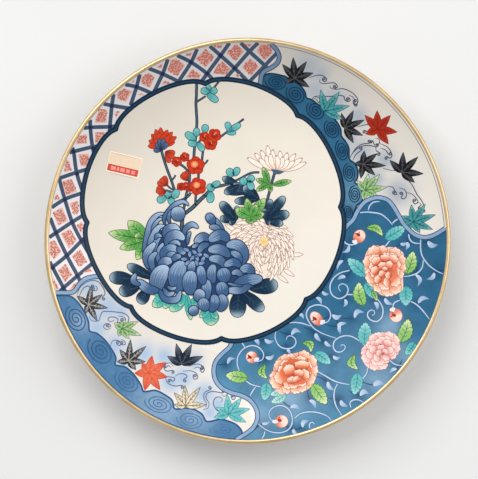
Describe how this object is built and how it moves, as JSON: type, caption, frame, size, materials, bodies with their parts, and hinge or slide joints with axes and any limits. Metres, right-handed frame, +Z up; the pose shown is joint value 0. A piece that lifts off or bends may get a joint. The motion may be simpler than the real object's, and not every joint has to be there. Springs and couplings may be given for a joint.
{
  "type": "display plate",
  "caption": "Large round shallow porcelain plate with a curved wall, a foot ring, glazed skins, a gilt rim band and a small paper label on its painted face.",
  "frame": {"origin": "centre of the foot ring, on the plane that the plate stands on", "axes": "+Z up out of the face with the plate lying on its foot ring; +Y towards the top of the picture on its face, +X to the picture's right"},
  "size_m": [0.303, 0.303, 0.0398],
  "materials": {
    "biscuit_porcelain": "bare fired porcelain, matt, seen only on the ground edge of the foot ring",
    "clear_glaze": "glossy clear glaze over white porcelain",
    "gilding": "fired gold, soft gloss, a little rubbed",
    "label_paper": "uncoated cream paper",
    "underglaze_blue": "cobalt blue under glossy glaze",
    "overglaze_enamel": "glossy enamel painted on the glaze, slightly raised"
  },
  "bodies": {
    "root": {"porcelain_body": "biscuit_porcelain", "outer_glaze": "clear_glaze", "base_glaze": "clear_glaze", "gilt_rim_band": "gilding", "price_label": "label_paper"}
  },
  "joints": []
}
